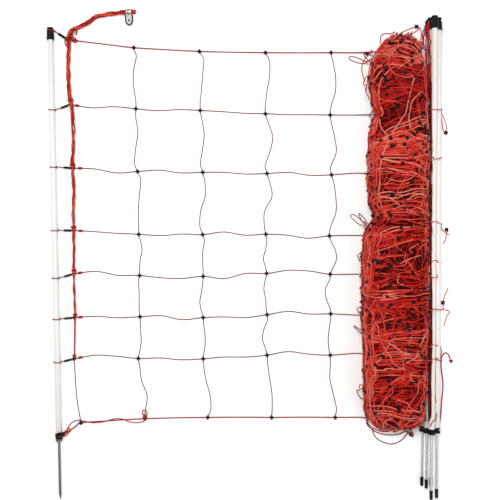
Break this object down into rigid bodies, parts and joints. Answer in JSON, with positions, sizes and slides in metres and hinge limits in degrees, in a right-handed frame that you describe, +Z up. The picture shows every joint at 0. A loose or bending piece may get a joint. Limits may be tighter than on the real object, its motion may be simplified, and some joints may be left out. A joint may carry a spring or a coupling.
{
  "type": "electric sheep netting",
  "caption": "Red mesh fence netting laid open beside its gathered folds, with white step-in posts, black caps, steel spikes and a twisted lead with a clip.",
  "frame": {"origin": "on the floor under the middle of the netting's box, loose cords left aside", "axes": "+X along the net from the end post to the stack of posts, +Y up the posts from spikes to caps, +Z up from the floor"},
  "size_m": [0.9841, 1.1851, 0.1338],
  "materials": {
    "red_twine": "twisted polyethylene twine, slightly glossy",
    "white_plastic": "semi-gloss",
    "black_plastic": "satin moulded",
    "zinc_steel": "galvanised",
    "dark_steel": "dulled galvanised",
    "bright_steel": "bright plated"
  },
  "bodies": {
    "root": {"end_post_tube": "white_plastic", "end_post_cap": "black_plastic", "end_post_foot": "black_plastic", "end_post_spike": "dark_steel", "end_post_step_ring": "zinc_steel", "stack_post_1_tube": "white_plastic", "stack_post_1_cap": "black_plastic", "stack_post_1_foot": "black_plastic", "stack_post_1_spike": "zinc_steel", "stack_post_1_tip_cap": "black_plastic", "stack_post_2_tube": "white_plastic", "stack_post_2_cap": "black_plastic", "stack_post_2_foot": "black_plastic", "stack_post_2_spike": "zinc_steel", "stack_post_2_tip_cap": "black_plastic", "stack_post_3_tube": "white_plastic", "stack_post_3_cap": "black_plastic", "stack_post_3_foot": "black_plastic", "stack_post_3_spike": "zinc_steel", "stack_post_3_tip_cap": "black_plastic", "stack_post_4_tube": "white_plastic", "stack_post_4_cap": "black_plastic", "stack_post_4_foot": "black_plastic", "stack_post_4_spike": "zinc_steel", "stack_post_4_tip_cap": "black_plastic", "stack_post_5_tube": "white_plastic", "stack_post_5_cap": "black_plastic", "stack_post_5_foot": "black_plastic", "stack_post_5_spike": "zinc_steel", "stack_post_5_tip_cap": "black_plastic", "gathered_net": "red_twine", "line_1": "red_twine", "line_2": "red_twine", "line_3": "red_twine", "line_4": "red_twine", "line_5": "red_twine", "line_6": "red_twine", "line_7": "red_twine", "line_8": "red_twine", "sleeve_2": "black_plastic", "sleeve_3": "black_plastic", "sleeve_4": "black_plastic", "sleeve_5": "black_plastic", "sleeve_6": "black_plastic", "sleeve_7": "black_plastic", "sleeve_8": "black_plastic", "end_stay": "red_twine", "stay_1": "red_twine", "stay_2": "red_twine", "stay_3": "red_twine", "stay_4": "red_twine", "lead_held": "red_twine", "lead_free_end": "red_twine", "connection_clip": "bright_steel", "tail_cord": "red_twine", "tail_knot": "red_twine"}
  },
  "joints": []
}
